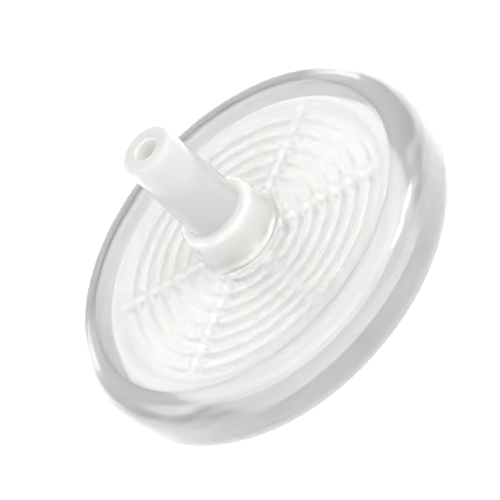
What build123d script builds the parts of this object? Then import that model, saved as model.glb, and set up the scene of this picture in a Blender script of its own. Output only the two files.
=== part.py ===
from build123d import *
import os

# 25 mm-class disposable syringe filter, built as it is made: two moulded
# half-housings clamp a membrane, and a clear band is moulded over their joint.
# Frame: origin at the centre of the inlet's flat mouth, +Z along the flow to
# the outlet tip. All lengths in mm.

# overall
DISC_OD = 30.0            # across the clear band
BODY_BOTTOM = 8.0         # inlet-side face of the disc, above the inlet mouth
BODY_TOP = 13.3           # outlet-side face of the disc
PART_HEIGHT = 24.0        # inlet mouth to outlet tip
PARTING_Z = (BODY_BOTTOM + BODY_TOP) / 2
DISC_R = DISC_OD / 2

# overmoulded band
BAND_ROUND = 2.0          # outer corners of the band, seen in section
BAND_LIP_R = 12.9         # inner edge of the band, flush with both faces
BAND_LIP_DEPTH = 1.1      # depth of the band's lips over the flanges
FLANGE_R = 13.6           # hidden outer edge of both half-housings

# walls and chamber
PLATE_WALL = 1.6
CHAMBER_R = 11.80         # inner edge of the clamping land, at the membrane
CHAMBER_SLOPE = 0.20      # how far the chamber wall leans in at the plate
MEMBRANE_R = 12.30
MEMBRANE_POCKET_R = 12.40
MEMBRANE_THICKNESS = 0.20

# support ribs: concentric rings, cut by six radial channels
RIB_WIDTH = 0.60
RIB_PITCH = 1.20
RIB_FIRST_R = 3.10        # centre line of the smallest ring
RIB_COUNT = 7
CHANNEL_WIDTH = 0.80
CHANNEL_START_DEG = 30.0
DRAIN_R = 1.80            # flare where the passages meet the chamber
DRAIN_DEPTH = 0.50

# outlet: male luer slip tip, 6% taper on the diameter
LUER_TAPER = 0.06
TIP_R = 2.00
TIP_ROUND = 0.32
TIP_LIP_ROUND = 0.25
TIP_BORE_R = 0.85
BOSS_HEIGHT = 2.9
BOSS_R = 3.05             # at the plate
BOSS_TOP_R = 2.95
BOSS_ROUND = 0.42
BOSS_FOOT_ROUND = 0.70
TUBE_FOOT_ROUND = 0.24

# inlet: female luer-lock socket, 6% taper on the diameter
SOCKET_MOUTH_R = 2.145
SOCKET_DEPTH = 8.2
SOCKET_CHAMFER = 0.20
ORIFICE_R = 0.90
HUB_R = 3.30
HUB_FOOT_ROUND = 0.90
LUG_R = 3.90              # across the two locking lugs, 7.8
LUG_WIDTH = 3.40
LUG_THICKNESS = 1.20
LUG_CHAMFER = 0.35

membrane_top = PARTING_Z + MEMBRANE_THICKNESS / 2
membrane_bottom = PARTING_Z - MEMBRANE_THICKNESS / 2
boss_top_z = BODY_TOP + BOSS_HEIGHT
tube_foot_r = TIP_R + LUER_TAPER / 2 * (PART_HEIGHT - boss_top_z)
socket_end_r = SOCKET_MOUTH_R - LUER_TAPER / 2 * SOCKET_DEPTH

rib_radii = [RIB_FIRST_R + RIB_PITCH * i for i in range(RIB_COUNT)]


def corner(sketch, r, z):
    """The corner of a section that lies at radius r and height z."""
    return sketch.vertices().sort_by_distance((r, z, 0))[0]


# outlet half: plate, clamping land, flange, boss and slip tip in one moulding
plate_inside_top = BODY_TOP - PLATE_WALL
with BuildPart() as outlet_housing:
    with BuildSketch(Plane.XZ) as outlet_section:
        with BuildLine():
            Polyline(
                (DRAIN_R, plate_inside_top),
                (CHAMBER_R - CHAMBER_SLOPE, plate_inside_top),
                (CHAMBER_R, membrane_top),
                (MEMBRANE_POCKET_R, membrane_top),
                (MEMBRANE_POCKET_R, PARTING_Z),
                (FLANGE_R, PARTING_Z),
                (FLANGE_R, BODY_TOP - BAND_LIP_DEPTH),
                (BAND_LIP_R, BODY_TOP - BAND_LIP_DEPTH),
                (BAND_LIP_R, BODY_TOP),
                (BOSS_R, BODY_TOP),
                (BOSS_TOP_R, boss_top_z),
                (tube_foot_r, boss_top_z),
                (TIP_R, PART_HEIGHT),
                (TIP_BORE_R, PART_HEIGHT),
                (TIP_BORE_R, plate_inside_top + DRAIN_DEPTH),
                (DRAIN_R, plate_inside_top),
            )
        make_face()
        fillet(corner(outlet_section, BOSS_R, BODY_TOP), BOSS_FOOT_ROUND)
        fillet(corner(outlet_section, BOSS_TOP_R, boss_top_z), BOSS_ROUND)
        fillet(corner(outlet_section, tube_foot_r, boss_top_z), TUBE_FOOT_ROUND)
        fillet(corner(outlet_section, TIP_R, PART_HEIGHT), TIP_ROUND)
        fillet(corner(outlet_section, TIP_BORE_R, PART_HEIGHT), TIP_LIP_ROUND)
    revolve(axis=Axis.Z)
    with BuildSketch(Plane.XY.offset(membrane_top)) as outlet_ribs:
        for r in reversed(rib_radii):
            Circle(r + RIB_WIDTH / 2)
            Circle(r - RIB_WIDTH / 2, mode=Mode.SUBTRACT)
        with PolarLocations(0, 3, CHANNEL_START_DEG, 180):
            Rectangle(2 * CHAMBER_R, CHANNEL_WIDTH, mode=Mode.SUBTRACT)
    extrude(amount=plate_inside_top - membrane_top + 0.2)
outlet_housing.part.label = "outlet_housing"

# inlet half: plate, clamping land, flange and female luer-lock hub
plate_inside_bottom = BODY_BOTTOM + PLATE_WALL
with BuildPart() as inlet_housing:
    with BuildSketch(Plane.XZ) as inlet_section:
        with BuildLine():
            Polyline(
                (DRAIN_R, plate_inside_bottom),
                (CHAMBER_R - CHAMBER_SLOPE, plate_inside_bottom),
                (CHAMBER_R, membrane_bottom),
                (MEMBRANE_POCKET_R, membrane_bottom),
                (MEMBRANE_POCKET_R, PARTING_Z),
                (FLANGE_R, PARTING_Z),
                (FLANGE_R, BODY_BOTTOM + BAND_LIP_DEPTH),
                (BAND_LIP_R, BODY_BOTTOM + BAND_LIP_DEPTH),
                (BAND_LIP_R, BODY_BOTTOM),
                (HUB_R, BODY_BOTTOM),
                (HUB_R, 0),
                (SOCKET_MOUTH_R + SOCKET_CHAMFER, 0),
                (SOCKET_MOUTH_R, SOCKET_CHAMFER),
                (socket_end_r, SOCKET_DEPTH),
                (ORIFICE_R, SOCKET_DEPTH),
                (ORIFICE_R, plate_inside_bottom - DRAIN_DEPTH),
                (DRAIN_R, plate_inside_bottom),
            )
        make_face()
        fillet(corner(inlet_section, HUB_R, BODY_BOTTOM), HUB_FOOT_ROUND)
    revolve(axis=Axis.Z)
    with BuildSketch(Plane.XY) as lugs:
        Circle(LUG_R)
        Circle(HUB_R - 0.3, mode=Mode.SUBTRACT)
        Rectangle(4 * LUG_R, LUG_WIDTH, mode=Mode.INTERSECT)
    extrude(amount=LUG_THICKNESS)
    with BuildSketch(Plane.XY.offset(membrane_bottom)) as inlet_ribs:
        for r in reversed(rib_radii):
            Circle(r + RIB_WIDTH / 2)
            Circle(r - RIB_WIDTH / 2, mode=Mode.SUBTRACT)
        with PolarLocations(0, 3, CHANNEL_START_DEG, 180):
            Rectangle(2 * CHAMBER_R, CHANNEL_WIDTH, mode=Mode.SUBTRACT)
    extrude(amount=-(membrane_bottom - plate_inside_bottom + 0.2))
    lug_backs = (
        inlet_housing.edges()
        .filter_by(GeomType.CIRCLE)
        .filter_by(lambda e: abs(e.radius - LUG_R) < 0.01 and abs(e.center().Z - LUG_THICKNESS) < 0.01)
    )
    chamfer(lug_backs, LUG_CHAMFER)
inlet_housing.part.label = "inlet_housing"

# membrane, clamped between the two lands
with BuildPart() as filter_membrane:
    with BuildSketch(Plane.XY.offset(membrane_bottom)):
        Circle(MEMBRANE_R)
    extrude(amount=MEMBRANE_THICKNESS)
filter_membrane.part.label = "filter_membrane"

# band moulded round the flanges, with a lip over each face
with BuildPart() as overmould_band:
    with BuildSketch(Plane.XZ) as band_section:
        with BuildLine():
            Polyline(
                (BAND_LIP_R, BODY_TOP),
                (BAND_LIP_R, BODY_TOP - BAND_LIP_DEPTH),
                (FLANGE_R, BODY_TOP - BAND_LIP_DEPTH),
                (FLANGE_R, BODY_BOTTOM + BAND_LIP_DEPTH),
                (BAND_LIP_R, BODY_BOTTOM + BAND_LIP_DEPTH),
                (BAND_LIP_R, BODY_BOTTOM),
                (DISC_R, BODY_BOTTOM),
                (DISC_R, BODY_TOP),
                (BAND_LIP_R, BODY_TOP),
            )
        make_face()
        fillet(corner(band_section, DISC_R, BODY_TOP), BAND_ROUND)
        fillet(corner(band_section, DISC_R, BODY_BOTTOM), BAND_ROUND)
    revolve(axis=Axis.Z)
overmould_band.part.label = "overmould_band"

os.makedirs("parts", exist_ok=True)
export_step(outlet_housing.part, "parts/outlet_housing.step")
export_step(inlet_housing.part, "parts/inlet_housing.step")
export_step(filter_membrane.part, "parts/filter_membrane.step")
export_step(overmould_band.part, "parts/overmould_band.step")
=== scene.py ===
import bpy
import math
from mathutils import Matrix, Vector


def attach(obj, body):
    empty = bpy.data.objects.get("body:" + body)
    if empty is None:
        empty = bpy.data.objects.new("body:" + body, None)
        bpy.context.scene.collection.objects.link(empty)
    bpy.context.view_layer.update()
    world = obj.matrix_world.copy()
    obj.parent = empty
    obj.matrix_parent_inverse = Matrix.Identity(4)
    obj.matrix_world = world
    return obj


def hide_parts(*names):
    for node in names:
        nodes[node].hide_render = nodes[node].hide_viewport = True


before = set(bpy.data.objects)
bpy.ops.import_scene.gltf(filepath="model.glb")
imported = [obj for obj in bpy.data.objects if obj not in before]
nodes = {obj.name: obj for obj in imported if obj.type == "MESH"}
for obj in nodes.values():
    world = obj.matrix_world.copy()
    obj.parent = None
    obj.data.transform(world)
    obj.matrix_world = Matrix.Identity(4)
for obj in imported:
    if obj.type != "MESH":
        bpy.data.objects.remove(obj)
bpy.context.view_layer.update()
scene = bpy.context.scene


# ---------------------------------------------------------------- camera
AZ, EL, ROLL = math.radians(0.0), math.radians(36.57), math.radians(48.46)
FRAME_PX = 500
PX_PER_M = 14283.0
DISTANCE = 0.2865
centre = Vector((0, 0, 0.01065))
back = Vector((math.sin(AZ) * math.cos(EL), -math.cos(AZ) * math.cos(EL), math.sin(EL)))
right0 = Vector((math.cos(AZ), math.sin(AZ), 0))
up0 = back.cross(right0)
cam_x = right0 * math.cos(ROLL) - up0 * math.sin(ROLL)
cam_y = right0 * math.sin(ROLL) + up0 * math.cos(ROLL)
# the rim's middle lies at (262.0, 253.0) in the frame
off_x, off_y = (262.03 - 250) / PX_PER_M, (253.02 - 250) / PX_PER_M
place = centre + back * DISTANCE - cam_x * off_x + cam_y * off_y
cam_data = bpy.data.cameras.new("camera")
cam_data.sensor_width = 36
cam_data.lens = PX_PER_M * DISTANCE / FRAME_PX * 36
cam_data.clip_start = 0.005
cam_data.clip_end = 20
cam = bpy.data.objects.new("camera", cam_data)
cam.matrix_world = Matrix((
    (cam_x.x, cam_y.x, back.x, place.x),
    (cam_x.y, cam_y.y, back.y, place.y),
    (cam_x.z, cam_y.z, back.z, place.z),
    (0, 0, 0, 1)))
scene.collection.objects.link(cam)
scene.camera = cam

# ---------------------------------------------------------------- light
WORLD = 1.1
HORIZON = [(0.0, (0.42, 0.43, 0.46, 1)), (0.25, (0.55, 0.56, 0.58, 1)), (0.6, (0.78, 0.78, 0.78, 1))]
BOXES = [((0.80, -0.15, 0.58), 32, 16, (1.0, 1.0, 1.0)), ((0.80, -0.12, 0.58), 9, 5, (8, 8, 8)), ((0.69, -0.39, 0.61), 9, 5, (7, 7, 7)), ((0.1, -0.1, 1.0), 60, 20, (0.4, 0.4, 0.4)),
         ((-0.5, -0.85, 0.2), 75, 20, (0.65, 0.65, 0.65)),
         ((-0.4, 0.9, 0.15), 70, 20, (0.3, 0.3, 0.29)),
         ((-0.74, 0.36, 0.57), 18, 8, (2.6, 2.65, 2.7)),
         ((0.95, -0.1, 0.0), 50, 15, (-0.36, -0.36, -0.34))]
scene.view_settings.view_transform = "Standard"
scene.view_settings.look = "None"
scene.view_settings.exposure = 0.0
world = bpy.data.worlds.new("studio")
scene.world = world
world.use_nodes = True
wt = world.node_tree
bg = wt.nodes["Background"]
# a grey horizon under a bright dome, and soft boxes set in the dome
coord = wt.nodes.new("ShaderNodeTexCoord")
split = wt.nodes.new("ShaderNodeSeparateXYZ")
wt.links.new(coord.outputs["Generated"], split.inputs[0])
ramp = wt.nodes.new("ShaderNodeValToRGB")
wt.links.new(split.outputs["Z"], ramp.inputs["Fac"])
els = ramp.color_ramp.elements
els[0].position, els[0].color = HORIZON[0]
els[1].position, els[1].color = HORIZON[-1]
for position, colour in HORIZON[1:-1]:
    els.new(position).color = colour
total = ramp.outputs["Color"]


def soft_box(total, towards, edge, core, radiance):
    """Adds a round soft light in the dome, fading out between two angles."""
    dot = wt.nodes.new("ShaderNodeVectorMath")
    dot.operation = "DOT_PRODUCT"
    wt.links.new(coord.outputs["Generated"], dot.inputs[0])
    dot.inputs[1].default_value = Vector(towards).normalized()
    fall = wt.nodes.new("ShaderNodeMapRange")
    fall.interpolation_type = "SMOOTHSTEP"
    fall.inputs["From Min"].default_value = math.cos(math.radians(edge))
    fall.inputs["From Max"].default_value = math.cos(math.radians(core))
    wt.links.new(dot.outputs["Value"], fall.inputs["Value"])
    add = wt.nodes.new("ShaderNodeMix")
    add.data_type = "RGBA"
    add.blend_type = "ADD"
    add.inputs["B"].default_value = (*radiance, 1)
    wt.links.new(fall.outputs["Result"], add.inputs["Factor"])
    wt.links.new(total, add.inputs["A"])
    return add.outputs["Result"]


for box in BOXES:
    total = soft_box(total, *box)
wt.links.new(total, bg.inputs["Color"])
bg.inputs["Strength"].default_value = WORLD

# ---------------------------------------------------------------- floor
bpy.ops.mesh.primitive_plane_add(size=3)
floor = bpy.context.object
floor.name = "floor"
m = bpy.data.materials.new("floor_white")
m.use_nodes = True
m.node_tree.nodes["Principled BSDF"].inputs["Base Color"].default_value = (0.93, 0.93, 0.93, 1)
m.node_tree.nodes["Principled BSDF"].inputs["Roughness"].default_value = 0.9
m.node_tree.nodes["Principled BSDF"].inputs["Emission Color"].default_value = (1, 1, 1, 1)
m.node_tree.nodes["Principled BSDF"].inputs["Emission Strength"].default_value = 0.4
floor.data.materials.append(m)


# ---------------------------------------------------------------- materials
def principled(name, colour, rough, **sockets):
    m = bpy.data.materials.new(name)
    m.use_nodes = True
    p = m.node_tree.nodes["Principled BSDF"]
    p.inputs["Base Color"].default_value = (*colour, 1)
    p.inputs["Roughness"].default_value = rough
    for key, value in sockets.items():
        p.inputs[key.replace("_", " ")].default_value = value
    return m


def absorb(m, colour, density):
    """Plastic that dims light with the depth it crosses."""
    v = m.node_tree.nodes.new("ShaderNodeVolumeAbsorption")
    v.inputs["Color"].default_value = (*colour, 1)
    v.inputs["Density"].default_value = density
    m.node_tree.links.new(v.outputs[0], m.node_tree.nodes["Material Output"].inputs["Volume"])


def assign(node, mat):
    o = nodes[node]
    if not o.material_slots:
        o.data.materials.append(mat)
    for s in o.material_slots:
        s.material = mat


MM = 0.001
MILKY_T, MILKY_S, MILKY_R, MILKY_IOR = 0.78, 0.0015, 0.15, 1.49
CLEAR_T, CLEAR_R, CLEAR_PAINTED_GLOW = 0.78, 0.15, 0.04
FILM_PAINTED_GLOW = 0.75
LIP_R, LIP_DEPTH, FLANGE_R = 12.9, 1.1, 13.6
OVER = 0.02
ABSORB = 42.0
HAZE = (0.0, 0.005, 0.02)
SHOULDER_SHADE = (0.985, 0.99, 1.0)
STEM_T = 0.3
RIB_SHADE, GLOW = 0.82, 0.21
RIB_PRINT_AND_SHADE, CHANNEL_SHADE, MINUS_Y_CHANNEL_SHADE = 0.14, -0.2, 1.6
EDGE_PAINTED_SHADE, CLAMP_PAINTED_SHADE = 0.39, -0.11
STEM_SHADE, HUB_SHADE = 0.65, 0.81
WALL_GLOW, BORE_GLOW = 0.25, 0.18
WALL_R, WALL_T = 0.4, 0.25


def object_coords(tree):
    return tree.nodes.new("ShaderNodeTexCoord").outputs["Object"]


def calc(tree, operation, a, b=0.0):
    """One step of arithmetic on numbers or other nodes' results."""
    n = tree.nodes.new("ShaderNodeMath")
    n.operation = operation
    for socket, value in zip(n.inputs, (a, b)):
        if isinstance(value, (int, float)):
            socket.default_value = value
        else:
            tree.links.new(value, socket)
    return n.outputs[0]


def polar(tree, where):
    """Radius from the axis and height, both in millimetres."""
    xyz = tree.nodes.new("ShaderNodeSeparateXYZ")
    tree.links.new(where, xyz.inputs[0])
    square = calc(tree, "ADD", calc(tree, "MULTIPLY", xyz.outputs[0], xyz.outputs[0]),
                  calc(tree, "MULTIPLY", xyz.outputs[1], xyz.outputs[1]))
    return (calc(tree, "MULTIPLY", calc(tree, "SQRT", square), 1000.0),
            calc(tree, "MULTIPLY", xyz.outputs[2], 1000.0))


def ease(tree, value, low, high):
    """0 below low, 1 above high, smooth between."""
    n = tree.nodes.new("ShaderNodeMapRange")
    n.interpolation_type = "SMOOTHSTEP"
    n.inputs["From Min"].default_value = low
    n.inputs["From Max"].default_value = high
    tree.links.new(value, n.inputs["Value"])
    return n.outputs["Result"]


def weld(tree, r, z):
    """1 where plastic meets plastic, at the faces hidden under the band and at
    the joint of the two halves: moulded together, they leave no surface."""
    def near(value, at):
        return calc(tree, "LESS_THAN", calc(tree, "ABSOLUTE", calc(tree, "SUBTRACT", value, at)), 0.03)

    def both(first, second):
        return calc(tree, "MULTIPLY", first, second)

    h = calc(tree, "ABSOLUTE", calc(tree, "SUBTRACT", z, 10.65))
    lip = both(near(r, LIP_R), calc(tree, "LESS_THAN", h, 2.64))
    ledge = both(near(h, 2.65 - LIP_DEPTH), both(calc(tree, "GREATER_THAN", r, LIP_R - 0.03),
                                                 calc(tree, "LESS_THAN", r, FLANGE_R + 0.03)))
    flange = both(near(r, FLANGE_R), calc(tree, "LESS_THAN", h, 2.65 - LIP_DEPTH + 0.02))
    joint = both(calc(tree, "LESS_THAN", h, 0.12), both(calc(tree, "GREATER_THAN", r, 12.32),
                                                        calc(tree, "LESS_THAN", r, FLANGE_R + 0.03)))
    return calc(tree, "MAXIMUM", calc(tree, "MAXIMUM", lip, ledge), calc(tree, "MAXIMUM", flange, joint))


def noise(tree, scale, detail, where):
    n = tree.nodes.new("ShaderNodeTexNoise")
    n.inputs["Scale"].default_value = scale
    n.inputs["Detail"].default_value = detail
    tree.links.new(where, n.inputs["Vector"])
    return n.outputs["Fac"]


def spread(tree, fac, low, high):
    """Noise in 0.3..0.7 mapped to low..high."""
    n = tree.nodes.new("ShaderNodeMapRange")
    n.inputs["From Min"].default_value = 0.3
    n.inputs["From Max"].default_value = 0.7
    n.inputs["To Min"].default_value = low
    n.inputs["To Max"].default_value = high
    tree.links.new(fac, n.inputs["Value"])
    return n.outputs["Result"]


def tint(tree, fac, dark, light):
    n = tree.nodes.new("ShaderNodeMix")
    n.data_type = "RGBA"
    n.inputs["A"].default_value = (*dark, 1)
    n.inputs["B"].default_value = (*light, 1)
    tree.links.new(fac, n.inputs["Factor"])
    return n.outputs["Result"]


def scaled(tree, colour, factor):
    n = tree.nodes.new("ShaderNodeVectorMath")
    n.operation = "SCALE"
    tree.links.new(colour, n.inputs[0])
    tree.links.new(factor, n.inputs["Scale"])
    return n.outputs[0]


def spoke_distance(tree, where, r):
    """Distance in millimetres to the middle of the nearest radial channel."""
    xyz = tree.nodes.new("ShaderNodeSeparateXYZ")
    tree.links.new(where, xyz.inputs[0])
    angle = calc(tree, "ARCTAN2", xyz.outputs[1], xyz.outputs[0])
    fold = calc(tree, "PINGPONG", calc(tree, "SUBTRACT", angle, math.radians(30)), math.radians(30))
    return calc(tree, "MULTIPLY", r, calc(tree, "SINE", fold))


def away(tree, where, r):
    """0 along the -Y spoke, 1 on the other five."""
    xyz = tree.nodes.new("ShaderNodeSeparateXYZ")
    tree.links.new(where, xyz.inputs[0])
    return ease(tree, calc(tree, "DIVIDE", calc(tree, "MULTIPLY", xyz.outputs[1], 1000.0), r), -0.92, -0.75)


def lathe(name, profile, segments, closed=True):
    """A turned mesh about Z from (r, z) points in millimetres."""
    verts, faces = [], []
    n = len(profile)
    for i in range(segments):
        a = 2 * math.pi * i / segments
        c, s = math.cos(a), math.sin(a)
        verts += [(r * c * MM, r * s * MM, z * MM) for r, z in profile]
    for i in range(segments):
        j = (i + 1) % segments
        for k in range(n if closed else n - 1):
            l = (k + 1) % n
            faces.append((i * n + k, j * n + k, j * n + l, i * n + l))
    mesh = bpy.data.meshes.new(name)
    mesh.from_pydata(verts, [], faces)
    mesh.validate()
    for p in mesh.polygons:
        p.use_smooth = True
    o = bpy.data.objects.new(name, mesh)
    scene.collection.objects.link(o)
    return o


def disc(name, radius, z0, z1, segments):
    """A flat round film in millimetres."""
    verts = [(0, 0, z0 * MM), (0, 0, z1 * MM)]
    edge = (z1 - z0) * 0.2
    rings = [(radius - edge, z0), (radius, z0 + edge), (radius, z1 - edge), (radius - edge, z1)]
    for r, z in rings:
        verts += [(r * math.cos(2 * math.pi * i / segments) * MM, r * math.sin(2 * math.pi * i / segments) * MM, z * MM)
                  for i in range(segments)]
    faces = []
    last = 2 + (len(rings) - 1) * segments
    for i in range(segments):
        j = (i + 1) % segments
        faces.append((0, 2 + j, 2 + i))
        for k in range(len(rings) - 1):
            a, b = 2 + k * segments, 2 + (k + 1) * segments
            faces.append((a + i, a + j, b + j, b + i))
        faces.append((1, last + i, last + j))
    mesh = bpy.data.meshes.new(name)
    mesh.from_pydata(verts, [], faces)
    mesh.validate()
    o = bpy.data.objects.new(name, mesh)
    scene.collection.objects.link(o)
    return o


def arc(cx, cz, r, a0, a1, steps):
    return [(cx + r * math.cos(math.radians(a0 + (a1 - a0) * i / steps)),
             cz + r * math.sin(math.radians(a0 + (a1 - a0) * i / steps))) for i in range(steps + 1)]


# the clear band, moulded onto the flanges
Z0, Z1 = 8.0, 13.3
band_profile = (
    [(LIP_R, Z1), (LIP_R + 0.01, Z1)] + arc(13.0, Z1 - 2.0, 2.0, 90, 0, 24)
    + [(15.0, Z1 - 2.35), (15.0, 10.65), (15.0, Z0 + 2.35)]
    + arc(13.0, Z0 + 2.0, 2.0, 0, -90, 24)
    + [(LIP_R + 0.01, Z0), (LIP_R, Z0), (LIP_R - OVER, Z0 + OVER), (LIP_R - OVER, Z0 + LIP_DEPTH + OVER),
       (FLANGE_R - OVER, Z0 + LIP_DEPTH + OVER), (FLANGE_R - OVER, 10.65),
       (FLANGE_R - OVER, Z1 - LIP_DEPTH - OVER), (LIP_R - OVER, Z1 - LIP_DEPTH - OVER),
       (LIP_R - OVER, Z1 - OVER)]
)
# painted light: the clear band is given a faint glow of its own
clear = principled("clear_pp", (0.88, 0.89, 0.905), CLEAR_R, Transmission_Weight=CLEAR_T, IOR=1.49,
                   Subsurface_Weight=1.0, Subsurface_Radius=(1.0, 1.0, 1.0), Subsurface_Scale=0.002,
                   Coat_Weight=0.6, Coat_Roughness=0.06, Emission_Strength=CLEAR_PAINTED_GLOW)
absorb(clear, HAZE, ABSORB)
t = clear.node_tree
p = t.nodes["Principled BSDF"]
oc = object_coords(t)
r, z = polar(t, oc)
t.links.new(calc(t, "SUBTRACT", 1.0, weld(t, r, z)), p.inputs["Alpha"])
# painted shade: the shoulders are tinted a little darker and cooler, where the plastic turns away from the light
h = calc(t, "ABSOLUTE", calc(t, "SUBTRACT", z, 10.65))
shoulder_shade_mask = calc(t, "MULTIPLY", ease(t, r, 13.1, 13.7), ease(t, h, 0.4, 1.2))
cloud = tint(t, spread(t, noise(t, 300.0, 1.0, oc), 0.0, 1.0), (0.87, 0.88, 0.895), (0.89, 0.90, 0.91))
painted_shoulder_shade = tint(t, shoulder_shade_mask, (1.0, 1.0, 1.0), SHOULDER_SHADE)
n = t.nodes.new("ShaderNodeVectorMath")
n.operation = "MULTIPLY"
t.links.new(cloud, n.inputs[0])
t.links.new(painted_shoulder_shade, n.inputs[1])
t.links.new(n.outputs[0], p.inputs["Base Color"])
t.links.new(spread(t, noise(t, 500.0, 1.0, oc), CLEAR_R - 0.03, CLEAR_R + 0.03), p.inputs["Roughness"])
band = lathe("overmould_band_clear", list(reversed(band_profile)), 256)
for poly in band.data.polygons:
    out, up = math.hypot(*poly.center[:2]) / MM, abs(poly.center.z / MM - 10.65)
    if out < LIP_R or (out < FLANGE_R and up < 2.65 - LIP_DEPTH + 0.1):
        poly.use_smooth = False
band.data.materials.append(clear)
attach(band, "root")
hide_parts("overmould_band")


# natural polypropylene: milky, a little cloudy, with a moulded satin skin
milky = principled("natural_pp", (0.95, 0.955, 0.945), MILKY_R, Transmission_Weight=MILKY_T, IOR=MILKY_IOR,
                   Subsurface_Weight=1.0, Subsurface_Radius=(1.0, 1.0, 1.0), Subsurface_Scale=MILKY_S,
                   Coat_Weight=0.5, Coat_Roughness=0.12)
absorb(milky, HAZE, ABSORB)
t = milky.node_tree
p = t.nodes["Principled BSDF"]
oc = object_coords(t)
r, z = polar(t, oc)
t.links.new(calc(t, "SUBTRACT", 1.0, weld(t, r, z)), p.inputs["Alpha"])
cloud = noise(t, 300.0, 1.0, oc)
h = calc(t, "ABSOLUTE", calc(t, "SUBTRACT", z, 10.65))
# painted shade: the rib flanks are painted darker than the open faces, and the stem and the hub are painted darker than
# the disc, the nozzle most, where more light falls on it
ribs = calc(t, "MULTIPLY", calc(t, "LESS_THAN", h, 1.03), calc(t, "LESS_THAN", r, 10.9))
stem = ease(t, h, 2.655, 2.95)
upper = ease(t, z, 16.15, 16.45)
stem_and_hub_shade = calc(t, "ADD", calc(t, "MULTIPLY", stem, 1.0 - HUB_SHADE), calc(t, "MULTIPLY", upper, HUB_SHADE - STEM_SHADE))
shade = calc(t, "SUBTRACT", 1.0, calc(t, "ADD", stem_and_hub_shade, calc(t, "MULTIPLY", ribs, 1.0 - RIB_SHADE)))
# painted light: a glow along the middle of each channel, at the plate's inner face, left off the -Y channel
inside = calc(t, "MULTIPLY", calc(t, "LESS_THAN", calc(t, "ABSOLUTE", calc(t, "SUBTRACT", h, 1.05)), 0.02),
              calc(t, "MULTIPLY", calc(t, "GREATER_THAN", r, 2.5), calc(t, "LESS_THAN", r, 11.0)))
glow = calc(t, "MULTIPLY", inside, calc(t, "SUBTRACT", 1.0, ease(t, spoke_distance(t, oc, r), 0.06, 0.36)))
glow = calc(t, "MULTIPLY", glow, away(t, oc, r))
# painted light: the same kind of glow at the chamber's outer wall and inside the bore
wall = calc(t, "MULTIPLY", calc(t, "LESS_THAN", h, 1.04), calc(t, "MULTIPLY", calc(t, "GREATER_THAN", r, 11.4),
                                                                calc(t, "LESS_THAN", r, 11.85)))
bore = calc(t, "MULTIPLY", calc(t, "LESS_THAN", r, 0.95), calc(t, "GREATER_THAN", h, 2.0))
t.links.new(calc(t, "ADD", calc(t, "MULTIPLY", glow, GLOW), calc(
    t, "ADD", calc(t, "MULTIPLY", wall, WALL_GLOW), calc(t, "MULTIPLY", bore, BORE_GLOW))), p.inputs["Emission Strength"])
t.links.new(scaled(t, tint(t, spread(t, cloud, 0.0, 1.0), (0.93, 0.93, 0.905), (0.965, 0.965, 0.945)), shade),
            p.inputs["Base Color"])
# the stem and the hub are thicker and milkier than the disc's faces
# the chamber's outer wall is left coarser and whiter by the tool
clarity = calc(t, "ADD", MILKY_T, calc(t, "ADD", calc(t, "MULTIPLY", stem, STEM_T - MILKY_T),
                                       calc(t, "MULTIPLY", wall, WALL_T - MILKY_T)))
t.links.new(clarity, p.inputs["Transmission Weight"])
t.links.new(calc(t, "ADD", spread(t, noise(t, 500.0, 1.0, oc), MILKY_R - 0.03, MILKY_R + 0.03),
                 calc(t, "MULTIPLY", wall, WALL_R - MILKY_R)), p.inputs["Roughness"])
assign("outlet_housing", milky)
assign("inlet_housing", milky)

# membrane: matte white with a fine open grain; painted light: the film glows in its own colour, so the marks and
# painted shades below dim that glow too
film = principled("membrane", (0.97, 0.97, 0.96), 0.85, Emission_Strength=FILM_PAINTED_GLOW)
t = film.node_tree
p = t.nodes["Principled BSDF"]
oc = object_coords(t)
pores = noise(t, 2500.0, 2.0, oc)
# the ribs' ring marks on the film, broken at the six channels: an imprint of the ribs, and painted shade under them
r, z = polar(t, oc)
ring = calc(t, "COSINE", calc(t, "MULTIPLY", calc(t, "SUBTRACT", r, 3.1), 2 * math.pi / 1.2))
ring = ease(t, ring, -0.6, 0.6)
within = calc(t, "MULTIPLY", calc(t, "GREATER_THAN", r, 2.5), calc(t, "LESS_THAN", r, 10.9))
ribbed = ease(t, spoke_distance(t, oc, r), 0.3, 0.5)
rib_print_and_shade = calc(t, "MULTIPLY", calc(t, "MULTIPLY", ring, within), ribbed)
# painted shade along the six channels on the film, deepest along the -Y channel
channel_shade = calc(t, "MULTIPLY", calc(t, "SUBTRACT", 1.0, ribbed), within)
channel_shade = calc(t, "MULTIPLY", channel_shade, calc(t, "SUBTRACT", MINUS_Y_CHANNEL_SHADE, calc(t, "MULTIPLY", away(t, oc, r), MINUS_Y_CHANNEL_SHADE - 1.0)))
level = calc(t, "ADD", calc(t, "SUBTRACT", 1.0, calc(t, "MULTIPLY", rib_print_and_shade, RIB_PRINT_AND_SHADE)), calc(t, "MULTIPLY", channel_shade, CHANNEL_SHADE))
# painted shade: the film is darker towards its edge under the chamber wall; past r 11.95 the negative clamp value
# paints it lighter again, a painted light on the clamped rim
level = calc(t, "SUBTRACT", level, calc(t, "MULTIPLY", ease(t, r, 10.3, 11.4), EDGE_PAINTED_SHADE))
level = calc(t, "SUBTRACT", level, calc(t, "MULTIPLY", ease(t, r, 11.8, 11.95), CLAMP_PAINTED_SHADE))
shown = scaled(t, tint(t, spread(t, pores, 0.0, 1.0), (0.87, 0.87, 0.86), (0.91, 0.91, 0.90)), level)
t.links.new(shown, p.inputs["Base Color"])
t.links.new(shown, p.inputs["Emission Color"])
t.links.new(spread(t, noise(t, 700.0, 2.0, oc), 0.78, 0.92), p.inputs["Roughness"])
# the ribs and the lands press a hair into the soft film from both sides
membrane = disc("membrane_film", 12.3, 10.54, 10.76, 192)
membrane.data.materials.append(film)
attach(membrane, "root")
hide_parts("filter_membrane")
